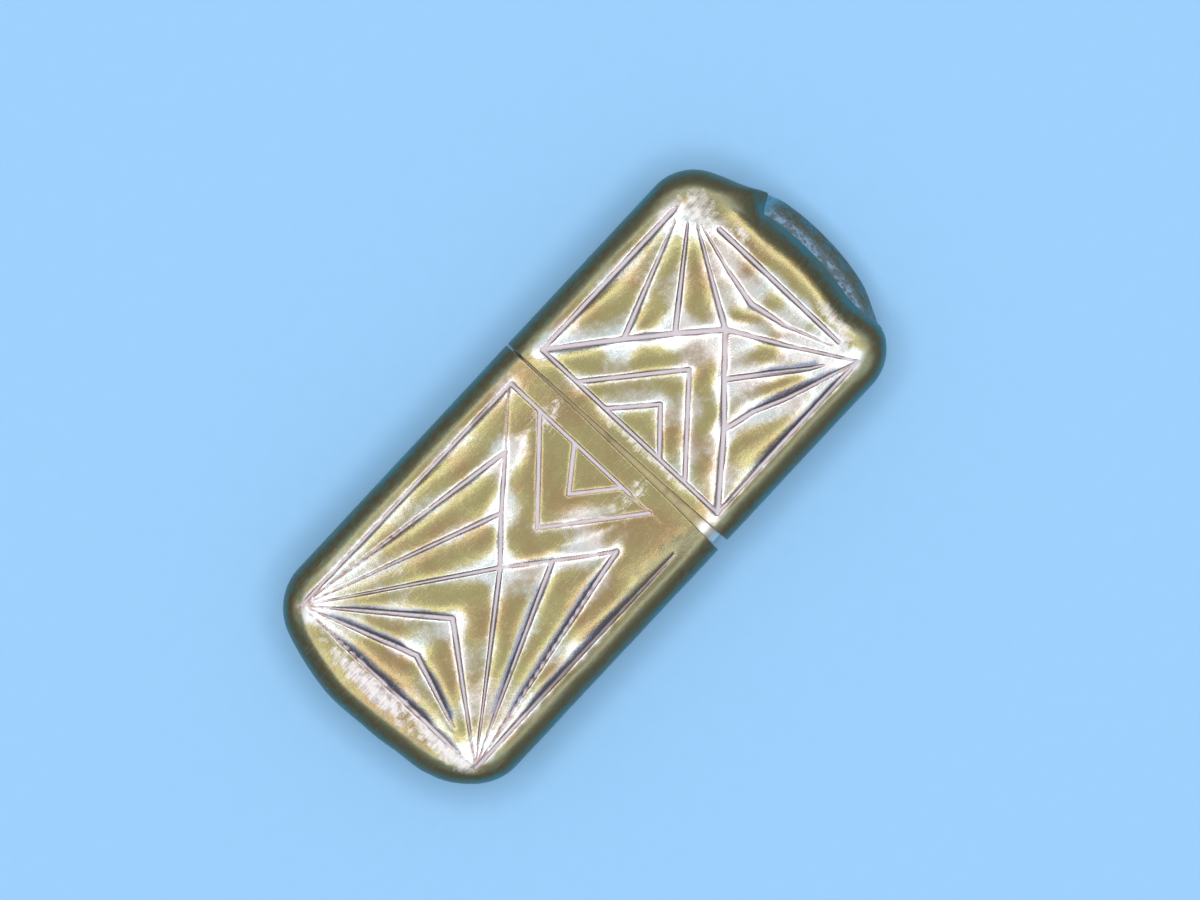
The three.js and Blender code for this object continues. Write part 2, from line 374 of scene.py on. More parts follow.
# The cap's pushed-in shoulder, as a section run in from the end: the end plate leans in from
# its foot to the shell's edge, and the shell slopes on up to the face.
DENT_FOOT = -0.8 * MM  # height of the leaning plate's foot above the middle
DENT_EDGE = (2.1 * MM, 1.92 * MM)  # how far in and how high the shell's edge is pushed
DENT_SHIFT = 1.5 * MM  # how far the top of the shoulder is pushed in
DENT_FACE = 8 * MM  # how far in from the end the face moves with it
DENT_SAG = 0.33 * MM  # how far the face beside it is drawn down
DENT_SAG_REACH = 0.6 * MM
DENT_BULGE = 0.66 * MM  # four times what the sloping sheet bulges by
DENT_SLOPE = (0.5, 0.86)  # how far in and down the sloping sheet's lining lies, of its depth
DENT_AT_EDGE = np.array([5.4, 1.2]) * MM  # where it starts at the shell's edge, and over what width
DENT_AT_FACE = np.array([9.0, 6.0]) * MM  # the same at the face
DENT_AT_FOOT = np.array([5.9, 0.7]) * MM  # the same at the end plate's foot
DENT_DIES = (6.0 * MM, 10.6 * MM)  # between these places it dies away at the -Y side


def dent_amount(y, start, blur):
    """How far the shoulder is pushed in across the case, 0..1. It starts sharply and dies away."""
    return (1 - smooth(y, start - blur, start)) * (1 - smooth(-y, *DENT_DIES))


def shell_form(half, sizes, columns, edge_rows, face_rows, dented, depth=0.0):
    """Places of a shell's points as an array of rows by columns by xyz.

    Rows run from the seam up the side, over the shoulder and in to the middle of the face.
    depth moves the form in along its normals. The front is up; x is the case's own x.
    """
    shares = np.linspace(0, 1, columns + 1 - 2 * len(NEAR_RIM))

    def stations(length):
        inner = RIM_MARGIN + (length - 2 * RIM_MARGIN) * shares
        return np.concatenate([NEAR_RIM, inner, length - NEAR_RIM[::-1]])

    # two columns close together where the end plate's seat begins and ends
    seat = sizes.plate_width / 2 + sizes.seam
    ring, normal = end_path(half, sizes.shoulder, stations)
    across = (ring + normal * sizes.shoulder)[len(NEAR_RIM) : -len(NEAR_RIM), 1]
    for y in (seat, -seat):
        outer = np.flatnonzero(across > y)[-1]
        share = np.interp(-y, -across, shares)
        shares[outer : outer + 2] = share - SEAT_STEP, share + SEAT_STEP

    ring, normal = end_path(half, sizes.shoulder, stations)
    outline = ring + normal * sizes.shoulder
    # the shoulder turns until it meets the crown's own slope
    crown_slope = math.atan(2 * sizes.crown / (sizes.crown_reach - sizes.shoulder))
    face_inset = sizes.shoulder * (1 - math.sin(crown_slope))
    face_edge, _ = end_path(half, face_inset, stations)
    arc_centre = face_height(half, face_edge, sizes) - sizes.shoulder * math.cos(crown_slope)
    at_end = (outline[:, 0] > HALF_LENGTH / 2) * dented

    # the lower edge: the seam at the sides, the end plate's seat across the end
    over_plate = (outline[:, 0] > HALF_LENGTH / 2) & (normal[:, 0] > FACES_END)
    over_plate &= np.abs(outline[:, 1]) < seat
    low = np.where(over_plate, sizes.plate_height / 2 + sizes.seam, sizes.seam)
    wall = np.maximum(arc_centre - low, 0)
    start = np.arcsin(np.clip((low - arc_centre) / sizes.shoulder, 0, STEEPEST_START))
    bend = sizes.shoulder * (math.pi / 2 - crown_slope - start)
    pushed_top = face_height(half, face_edge - (DENT_SHIFT, 0), sizes) - DENT_SAG

    rows = []
    radius = sizes.shoulder - depth
    for row in range(edge_rows):
        up = row / edge_rows
        along = up * (wall + bend)
        angle = start + np.maximum(along - wall, 0) / sizes.shoulder
        height = np.where(along < wall, low + along, arc_centre + radius * np.sin(angle))
        place = ring + normal * (radius * np.cos(angle))[:, None]

        pushed_place = outline + (face_edge - (DENT_SHIFT, 0) - outline) * up
        pushed_place[:, 0] -= DENT_EDGE[0] * (1 - up) + DENT_SLOPE[0] * depth
        pushed_height = DENT_EDGE[1] + (pushed_top - DENT_EDGE[1]) * up + DENT_BULGE * up * (1 - up)
        begin = DENT_AT_EDGE + (DENT_AT_FACE - DENT_AT_EDGE) * up
        pushed = at_end * dent_amount(pushed_place[:, 1], *begin)
        place += (pushed_place - place) * pushed[:, None]
        height += (pushed_height - DENT_SLOPE[1] * depth - height) * pushed
        rows.append((place, height))
    for row in range(face_rows + 1):
        inset = face_inset + (HALF_WIDTH - face_inset) * row / face_rows
        place, _ = end_path(half, inset, stations)
        pushed = dent_amount(place[:, 1], *DENT_AT_FACE) * (place[:, 0] > HALF_LENGTH / 2) * dented
        from_end = half["arc"] - np.hypot(place[:, 0] - (HALF_LENGTH - half["arc"]), place[:, 1])
        place[:, 0] -= DENT_SHIFT * pushed * (1 - smooth(from_end, face_inset, DENT_FACE))
        sag = DENT_SAG * pushed * np.exp((face_inset - from_end) / DENT_SAG_REACH)
        rows.append((place, face_height(half, place, sizes) - depth - sag))

    form = np.array([np.column_stack([place, height]) for place, height in rows])
    form[..., 0] -= end_worn(half, form[..., 0], form[..., 1])
    form[..., 0] *= half["outward"]
    # the rim's slant dies away within a few millimetres
    rim = rim_at(half, 0)
    near = 1 - smooth(np.abs(form[..., 0] - rim), *RIM_SLANT)
    form[..., 0] += near * (rim_at(half, form[..., 1]) - rim)
    return form


# ---- Pressed lines -----------------------------------------------------------

FAR = 9.0  # millimetres, further from any line than the sheet is drawn down
SHALLOW = 0.3  # how many millimetres further off a line with no depth counts
STEEP_WIDTH = 0.7  # millimetres
STEEP_GROWS = (0.05, 0.4)  # between these shares of a line its steep side grows
STEEP_DIES = (0.8, 1.0)
PATCH_EDGE = (0.2, 1.4)  # between these shares of its half size a patch fades


def distance_to(points, start, end):
    """Distance of each point from a straight stretch, and how far along it is nearest."""
    start, end = np.array(start), np.array(end)
    run = end - start
    along = np.clip(((points - start) @ run) / (run @ run), 0, 1)
    return np.hypot(*(points - start - along[:, None] * run).T), along


def measure_lines(points, lines, slope):
    """What the lines do at points in plan, in millimetres.

    Gives the distance from the nearest line, with shallow lines counted as further off, how far
    each point is left standing, and how steep the slope there is.
    """
    nearest = np.full(len(points), FAR)
    standing = np.ones(len(points))
    steep = np.zeros(len(points))
    x, y = points.T
    # the slopes' width wanders over the face
    slope = slope * (1 + 0.25 * np.sin(0.9 * x + 1.3 * np.sin(0.7 * y)) + 0.15 * np.sin(1.7 * y + 0.6 * x))
    for entry in lines:
        stretches = list(zip(entry["points"], entry["points"][1:]))
        first, last = entry["deep"]
        for number, (start, end) in enumerate(stretches):
            distance, along = distance_to(points, start, end)
            part = (number + along) / len(stretches)
            depth = first + (last - first) * part
            if first:
                nearest = np.minimum(nearest, distance + (1 - depth) * SHALLOW)
            pull = entry["fold"] * (depth if first else np.sin(math.pi * part))
            standing *= 1 - pull * np.exp(-distance / slope)
            run = np.subtract(end, start)
            side = (run[0] * (y - start[1]) - run[1] * (x - start[0])) * np.sign(entry["steep"])
            grown = smooth(part, *STEEP_GROWS) * (1 - smooth(part, *STEEP_DIES))
            here = np.exp(-((distance / STEEP_WIDTH) ** 2)) * (side > 0) * abs(entry["steep"]) * grown
            steep = np.maximum(steep, here)
    return nearest, standing, steep


def measure_patches(points, patches):
    """How strong a set of patches is at points in plan, in millimetres."""
    strength = np.zeros(len(points))
    x, y = points.T
    for centre, half_size, amount in patches:
        off = np.hypot(*((points - centre) / half_size).T)
        # the patch's outline wanders
        off *= 1 + 0.25 * np.sin(3.1 * x + 2 * np.sin(1.9 * y)) * np.sin(2.3 * y - x)
        strength = np.maximum(strength, amount * (1 - smooth(off, *PATCH_EDGE)))
    return strength


# ---- Mesh tools --------------------------------------------------------------

MERGE = 0.002 * MM  # points closer than this become one
LEAST_WEIGHT = 0.001
WANDER_REST = 0.75  # the pattern's value that leaves a point where it is; most of it lies lower
SHARP = math.radians(40)


def only(*objects):
    bpy.ops.object.select_all(action="DESELECT")
    for piece in objects:
        piece.select_set(True)
    bpy.context.view_layer.objects.active = objects[0]


def edit(*steps):
    """Runs edit-mode steps on everything in the active mesh."""
    bpy.ops.object.mode_set(mode="EDIT")
    bpy.ops.mesh.select_all(action="SELECT")
    for step in steps:
        step()
    bpy.ops.object.mode_set(mode="OBJECT")


def places(piece):
    flat = np.empty(len(piece.data.vertices) * 3)
    piece.data.vertices.foreach_get("co", flat)
    return flat.reshape(-1, 3)


def grid(name, form, flip):
    """A grid laid onto a form, an array of rows by columns by xyz, and joined where it meets."""
    rows, columns = form.shape[0] - 1, form.shape[1] - 1
    bpy.ops.object.select_all(action="DESELECT")
    bpy.ops.mesh.primitive_grid_add(x_subdivisions=columns, y_subdivisions=rows, size=2)
    sheet = bpy.context.active_object
    sheet.name = sheet.data.name = name
    # the grid's points lie from -1 to 1 both ways
    share = (places(sheet)[:, :2] + 1) / 2
    column = np.rint(share[:, 0] * columns).astype(int)
    row = np.rint(share[:, 1] * rows).astype(int)
    sheet.data.vertices.foreach_set("co", form[row, column].ravel())
    sheet.data.update()
    only(sheet)
    edit(lambda: bpy.ops.mesh.remove_doubles(threshold=MERGE))
    if flip:
        edit(bpy.ops.mesh.flip_normals)
    return sheet


def weigh(piece, name, weights):
    """A vertex group with the given weights."""
    group = piece.vertex_groups.new(name=name)
    for index in np.flatnonzero(weights > LEAST_WEIGHT):
        group.add([int(index)], float(weights[index]), "REPLACE")


def note(piece, name, values):
    """A number on each point, for the material to read."""
    attribute = piece.data.attributes.new(name, "FLOAT", "POINT")
    attribute.data.foreach_set("value", np.asarray(values, dtype=np.float32))


def apply(piece, change):
    """Applies a modifier to its piece."""
    only(piece)
    bpy.ops.object.modifier_apply(modifier=change.name)


def press(piece, group, distance):
    """Moves a vertex group in along the surface's normals."""
    change = piece.modifiers.new(group, "DISPLACE")
    change.vertex_group = group
    change.mid_level = 0
    change.strength = -distance
    apply(piece, change)


def wander(piece, sizes, waves):
    """Lets the sheet wander a little from its true form."""
    share, length = waves
    pattern = bpy.data.textures.new(piece.name + "_dents", "CLOUDS")
    pattern.noise_scale = length
    pattern.noise_depth = 1
    change = piece.modifiers.new("dents", "DISPLACE")
    change.texture = pattern
    change.texture_coords = "LOCAL"
    change.mid_level = WANDER_REST
    change.strength = share * sizes.waviness
    apply(piece, change)


def thicken(piece, thickness):
    """Gives a sheet its thickness, inwards."""
    change = piece.modifiers.new("sheet", "SOLIDIFY")
    change.thickness = thickness
    change.offset = -1
    apply(piece, change)


def finish_piece(piece, body, nodes, material):
    """Shades a finished piece and tells the frame what it stands for."""
    only(piece)
    bpy.ops.object.shade_smooth_by_angle(angle=SHARP)
    piece.data.materials.clear()
    piece.data.materials.append(material)
    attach(piece, body)
    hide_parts(*nodes)


# ---- Pieces ------------------------------------------------------------------

COARSE = 4  # how many of the outside's steps make one of the lining's
QUICK_STEPS = 3
SIDE_RUN = 4.14 * MM  # length of the section from the seam to the face
GROOVE_WALL = (0.6, 1.6)  # between these shares of its half width the cut line's wall rises
# Heights above and below the middle, as shares of half the thickness, between which one
# region of a shell passes into another.
FACE_LEVELS = (0.75, 0.9)
SHOULDER_LEVELS = (0.88, 0.935)
FLANK_LEVELS = (0.5, 0.88)
RIM_DROP = 0.8  # how far the rim's edge is worn down, of its radius
SHELL_WAVES = (1.0, 5 * MM)  # how wavy the sheet is, of the setting, and how long a wave is
PLATE_WAVES = (0.5, 1.5 * MM)
SLEEVE_WAVES = (0.6, 4 * MM)
PLATE_STEPS = (300, 42)  # across and up
PLATE_PLAY = 0.01 * MM  # how far the plates stay behind the case's outline
PLATE_FOOT = 0.12  # share of the cap's plate that stays upright below its dent
PLATE_LEAN = 1.25  # how late the leaning plate bends in
# the bright patch by the dent is painted reflection of the blue paper
PLATE_BEGIN = (4.7, 0.7)  # place and half width, in millimetres, of the bright patch by the dent
SLEEVE_CORNER_STEPS = 4
SLEEVE_STEPS = 8  # the same along the sleeve and across half of it
SLEEVE_FLAT = 5 * MM  # half the width of the sleeve's flat middle
SLEEVE_STRAIGHT = 1 * MM  # how far from its front edge the sleeve's even steps end
SLEEVE_MOUTH = np.array([0.5, 0.25, 0.1, 0]) * MM  # how far from its front edge it is turned in
SLEEVE_TURNED_IN = np.array([0.01, 0.04, 0.1, 0.2]) * MM  # and by how much
# painted highlight on the sleeve
SLEEVE_HIGHLIGHT_SPAN = (9.8 * MM, 10.8 * MM)  # between these places at the -Y side it turns bright


def build_shell(side, face, settings):
    """One shell, such as the cap's front: dense outside, coarser inside, closed round its edge."""
    sizes = settings.sizes
    half = HALVES[side]
    front = face == "front"
    dented = 1.0 if front and side == "cap" else 0.0
    step = sizes.step * 1
    run = 2 * (HALF_LENGTH - half["outward"] * rim_at(half, 0)) + 2 * HALF_WIDTH
    reaches = (run, SIDE_RUN, HALF_WIDTH - sizes.shoulder)
    counts = [COARSE * round(reach / step / COARSE) for reach in reaches]

    outer = shell_form(half, sizes, *counts, dented)
    inner = shell_form(half, sizes, *counts, dented, depth=sizes.wall)
    inner = inner[::COARSE, ::COARSE]
    for form in (outer, inner):
        form[..., 2] = MIDDLE + (form[..., 2] if front else -form[..., 2])
    facing_down = (half["outward"] > 0) == front
    name = f"{side}_{face}_shell"
    sheet = grid(name + "_relief", outer, facing_down)
    lining = grid(name + "_lining", inner, not facing_down)

    lines, rubbed, painted_shade = PATTERNS[side]
    place = places(sheet)
    plan = place[:, :2] / MM
    nearest, standing, steep = measure_lines(plan, lines, sizes.slope / MM)
    groove = 1 - smooth(nearest / (sizes.groove_width / MM), *GROOVE_WALL)
    level = np.abs(place[:, 2] - MIDDLE) / HALF_THICKNESS
    on_face = smooth(level, *FACE_LEVELS)
    from_rim = half["outward"] * (place[:, 0] - rim_at(half, place[:, 1]))
    from_rim = np.clip(from_rim / sizes.rim_round, 0, 1)
    for group, weights, distance in (
        ("between_lines", (1 - standing) * on_face, sizes.relief),
        ("grooves", groove * on_face, sizes.groove),
        ("steep_sides", steep * on_face, sizes.steep),
        ("rim", 1 - np.sqrt(1 - (1 - from_rim) ** 2), sizes.rim_round * RIM_DROP),
    ):
        weigh(sheet, group, weights)
        press(sheet, group, distance)
    wander(sheet, sizes, SHELL_WAVES)

    note(sheet, "line_distance", np.where(on_face > 0.5, nearest, FAR))
    note(sheet, "steep", steep * on_face)
    note(sheet, "rubbed", measure_patches(plan, rubbed) * on_face)
    # where shade is painted on
    note(sheet, "painted_shade", measure_patches(plan, painted_shade))
    note(sheet, "hollow", (1 - standing) * on_face)
    note(sheet, "edge", 1 - from_rim)
    # where the shoulders' painted shade goes
    note(sheet, "shoulder", 1 - smooth(level, *SHOULDER_LEVELS))
    # where the flanks' painted shade and reflection goes
    note(sheet, "flank_painted_reflection", 1 - smooth(level, *FLANK_LEVELS))
    note(sheet, "outside", np.ones(len(place)))
    note(lining, "line_distance", np.full(len(lining.data.vertices), FAR))
    only(sheet, lining)
    bpy.ops.object.join()
    sheet.name = sheet.data.name = name + "_pressed"
    close_shell()
    finish_piece(sheet, side, [name], shell_brass(settings))


def close_shell():
    """Joins the outer sheet and its lining round their edge."""
    bpy.ops.object.mode_set(mode="EDIT")
    bpy.ops.mesh.select_all(action="DESELECT")
    bpy.ops.mesh.select_mode(type="EDGE")
    bpy.ops.mesh.select_non_manifold()
    bpy.ops.mesh.bridge_edge_loops()
    bpy.ops.mesh.select_all(action="SELECT")
    bpy.ops.mesh.normals_make_consistent(inside=False)
    bpy.ops.mesh.select_mode(type="VERT")
    bpy.ops.object.mode_set(mode="OBJECT")


def build_end_plate(side, settings):
    """The curved plate let in across an end. The cap's leans in where its shoulder is pushed in."""
    sizes = settings.sizes
    half = HALVES[side]
    dented = 1.0 if side == "cap" else 0.0
    reach = sizes.plate_width / 2 - sizes.seam
    columns, rows = PLATE_STEPS
    across = np.linspace(reach, -reach, columns + 1)
    centre = HALF_LENGTH - half["arc"]
    out = centre + np.sqrt(half["arc"] ** 2 - across**2)
    # past the arc's ends the outline turns into the corner
    corner = half["corner"]
    corner_y = HALF_WIDTH - corner
    corner_x = centre + math.sqrt((half["arc"] - corner) ** 2 - corner_y**2)
    round_corner = corner_x + np.sqrt(np.clip(corner**2 - (np.abs(across) - corner_y) ** 2, 0, None))
    lean_y = half["arc"] * corner_y / (half["arc"] - corner)
    out = np.where(np.abs(across) > lean_y, round_corner, out) - PLATE_PLAY
    out -= end_worn(half, out, across)

    top = sizes.plate_height / 2 - sizes.seam
    pushed_top = DENT_EDGE[1] - 2 * sizes.seam
    form = np.empty((rows + 1, columns + 1, 3))
    for row in range(rows + 1):
        up = row / rows
        leaning = max(up - PLATE_FOOT, 0) / (1 - PLATE_FOOT)
        height = -top + 2 * top * up
        pushed_height = DENT_FOOT + (pushed_top - DENT_FOOT) * leaning
        pushed_height -= (DENT_FOOT + top) * max(1 - up / PLATE_FOOT, 0)
        begin = DENT_AT_FOOT + (DENT_AT_EDGE - DENT_AT_FOOT) * leaning
        pushed = dented * dent_amount(across, *begin)
        form[row, :, 0] = out - pushed * DENT_EDGE[0] * leaning**PLATE_LEAN
        form[row, :, 1] = across
        form[row, :, 2] = height + (pushed_height - height) * pushed
    form[..., 0] *= half["outward"]
    form[..., 2] += MIDDLE
    plate = grid(f"{side}_end_plate_curved", form, half["outward"] > 0)
    x, y, _ = places(plate).T
    note(plate, "inset", (np.interp(y, across[::-1], out[::-1]) - half["outward"] * x) / MM)
    note(plate, "begin", dented * np.exp(-(((y / MM - PLATE_BEGIN[0]) / PLATE_BEGIN[1]) ** 2)))
    wander(plate, sizes, PLATE_WAVES)
    thicken(plate, sizes.wall)
    finish_piece(plate, side, [f"{side}_end_plate"], plate_brass(settings))


def build_sleeve(settings):
    """The sleeve in the body's mouth, closed round, with its front edge turned in a little."""
    sizes = settings.sizes
    low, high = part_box("inner_sleeve")
    half_width = (high.y - low.y) / 2
    half_height = (high.z - low.z) / 2
    radius = sizes.shoulder - sizes.wall
    arc_centre = half_height - sizes.crown - radius
    fine = QUICK_STEPS

    turn = np.linspace(0, math.pi / 2, SLEEVE_CORNER_STEPS * fine + 1)
    across = np.linspace(half_width - radius, 0, SLEEVE_STEPS * fine + 1)[1:]
    rise = 1 - np.clip((across - SLEEVE_FLAT) / (half_width - radius - SLEEVE_FLAT), 0, None) ** 2
    quarter_y = np.concatenate([[half_width], half_width - radius + radius * np.cos(turn), across])
    top = arc_centre + radius + sizes.crown * rise
    quarter_z = np.concatenate([[0], arc_centre + radius * np.sin(turn), top])
    ring_y = np.concatenate([quarter_y, -quarter_y[-2::-1], -quarter_y[1:], quarter_y[-2::-1]])
    ring_z = np.concatenate([quarter_z, quarter_z[-2::-1], -quarter_z[1:], -quarter_z[-2::-1]])

    straight = np.linspace(low.x, high.x - SLEEVE_STRAIGHT, SLEEVE_STEPS * fine)
    along = np.concatenate([straight, high.x - SLEEVE_MOUTH])
    turned_in = np.concatenate([np.zeros(len(straight)), SLEEVE_TURNED_IN])
    form = np.array([
        np.column_stack([
            np.full(len(ring_y), x),
            ring_y * (1 - inward / half_width),
            MIDDLE + ring_z * (1 - inward / half_height),
        ])
        for x, inward in zip(along, turned_in)
    ])
    sleeve = grid("inner_sleeve_bent", form, False)
    # where the sleeve's painted highlight goes
    note(sleeve, "bright", smooth(-places(sleeve)[:, 1], *SLEEVE_HIGHLIGHT_SPAN))
    wander(sleeve, sizes, SLEEVE_WAVES)
    thicken(sleeve, sizes.sleeve_wall)
    finish_piece(sleeve, "body", ["inner_sleeve"], sleeve_metal(settings))


# ---- Materials ---------------------------------------------------------------

# The lesser colours that break up the skins, by the piece they are on. Some of them are painted shade,
# painted highlight and painted reflection, as noted.
LIGHT_SKIN = (0.4, 0.37, 0.18)
SKIN_GRAIN = (0.16, 0.12, 0.05)
# partly wear, partly painted highlight: cool pale for the slopes beside the lines
COOL_WORN_HIGHLIGHT_PALE = (0.6, 0.64, 0.66)
# marks in the shoulders' painted shade
SHADE_BROWN = (0.17, 0.14, 0.08)
SHADE_GRAIN = (0.1, 0.09, 0.05)
SHADE_SCRATCH = (0.42, 0.4, 0.3)
# painted shade, over the skin and over bare metal
PAINTED_SHADE_PATCH = (0.2, 0.18, 0.1)
PAINTED_SHADE_OVER_BARE = (0.19, 0.18, 0.11)
BARE_GREY = (0.42, 0.39, 0.44)
BARE_STREAK = (0.72, 0.65, 0.63)
INSIDE = (0.25, 0.19, 0.08)

PLATE_SKIN = (0.23, 0.21, 0.14)
PLATE_BROWN = (0.2, 0.16, 0.09)
PLATE_SPECK = (0.12, 0.09, 0.05)
# painted reflection of the blue paper
PLATE_BLUE_REFLECTION = (0.22, 0.46, 0.54)

SLEEVE_STAIN = (0.22, 0.17, 0.1)
SLEEVE_SCRATCH = (0.5, 0.44, 0.34)
# painted highlight
SLEEVE_PAINTED_HIGHLIGHT = (0.8, 0.8, 0.76)

PAPER_TOOTH = 0.985  # how dark the paper's hollows are


class Recipe:
    """A material's nodes, added one after another and wired by value or by socket."""

    def __init__(self, name):
        self.material = bpy.data.materials.new(name)
        self.material.use_nodes = True
        self.tree = self.material.node_tree
        self.shader = self.tree.nodes["Principled BSDF"]
        coordinates = self.tree.nodes.new("ShaderNodeTexCoord")
        scale = (1 / MM, 1 / MM, 1 / MM)
        self.place = self.node("ShaderNodeMapping", Vector=coordinates.outputs["Object"], Scale=scale)

    def node(self, kind, socket=0, settings=(), **inputs):
        made = self.tree.nodes.new(kind)
        for name, value in dict(settings).items():
            setattr(made, name, value)
        for name, value in inputs.items():
            self.feed(made.inputs[name], value)
        return made.outputs[socket]

    def feed(self, target, value):
        if isinstance(value, bpy.types.NodeSocket):
            self.tree.links.new(value, target)
        else:
            target.default_value = value

    def number(self, name):
        """A number noted on the mesh."""
        return self.node("ShaderNodeAttribute", "Fac", {"attribute_name": name})

    def noise(self, scale, detail=3, roughness=0.55, stretch=(1, 1, 1), turn=0.0, offset=0.0):
        """Smooth noise in millimetres: scale is how many waves there are to a millimetre."""
        placing = {"Scale": stretch, "Rotation": (0, 0, turn), "Location": (offset, 0, 0)}
        place = self.node("ShaderNodeMapping", Vector=self.place, **placing)
        look = {"Scale": scale, "Detail": detail, "Roughness": roughness}
        return self.node("ShaderNodeTexNoise", "Fac", Vector=place, **look)

    def step(self, value, low, high):
        """Turns low..high into a smooth 0..1."""
        made = self.tree.nodes.new("ShaderNodeMapRange")
        made.interpolation_type = "SMOOTHSTEP"
        self.feed(made.inputs["Value"], value)
        self.feed(made.inputs["From Min"], low)
        self.feed(made.inputs["From Max"], high)
        return made.outputs["Result"]

    def maths(self, operation, first, second):
        made = self.tree.nodes.new("ShaderNodeMath")
        made.operation = operation
        self.feed(made.inputs[0], first)
        self.feed(made.inputs[1], second)
        return made.outputs[0]

    def plus(self, first, second):
        return self.maths("ADD", first, second)

    def minus(self, first, second):
        return self.maths("SUBTRACT", first, second)

    def times(self, first, second):
        return self.maths("MULTIPLY", first, second)

    def larger(self, first, second):
        return self.maths("MAXIMUM", first, second)

    def mix(self, amount, under, over):
        """Lays one colour over another, as strongly as amount says."""
        made = self.tree.nodes.new("ShaderNodeMix")
        made.data_type = "RGBA"
        self.feed(made.inputs["Factor"], amount)
        for name, value in (("A", under), ("B", over)):
            target = next(s for s in made.inputs if s.name == name and s.type == "RGBA")
            self.feed(target, value if isinstance(value, bpy.types.NodeSocket) else (*value, 1))
        return next(s for s in made.outputs if s.type == "RGBA")

    def cover(self, value, low, high, under, over, most=None):
        """Lays one colour over another where value climbs from low to high, up to most."""
        amount = self.step(value, low, high)
        return self.mix(self.times(amount, most) if most else amount, under, over)

    def bump(self, height, distance, normal=None):
        made = self.tree.nodes.new("ShaderNodeBump")
        made.inputs["Distance"].default_value = distance
        self.feed(made.inputs["Height"], height)
        if normal is not None:
            self.feed(made.inputs["Normal"], normal)
        return made.outputs["Normal"]

    def finish(self, colour, roughness, normal, metallic=1.0):
        self.feed(self.shader.inputs["Base Color"], colour)
        self.feed(self.shader.inputs["Roughness"], roughness)
        self.feed(self.shader.inputs["Normal"], normal)
        self.shader.inputs["Metallic"].default_value = metallic
        return self.material


def once(make):
    """Makes a material on the first call and hands back the same one after that."""
    made = []

    def wrapper(settings):
        if not made:
            made.append(make(settings))
        return made[0]

    return wrapper


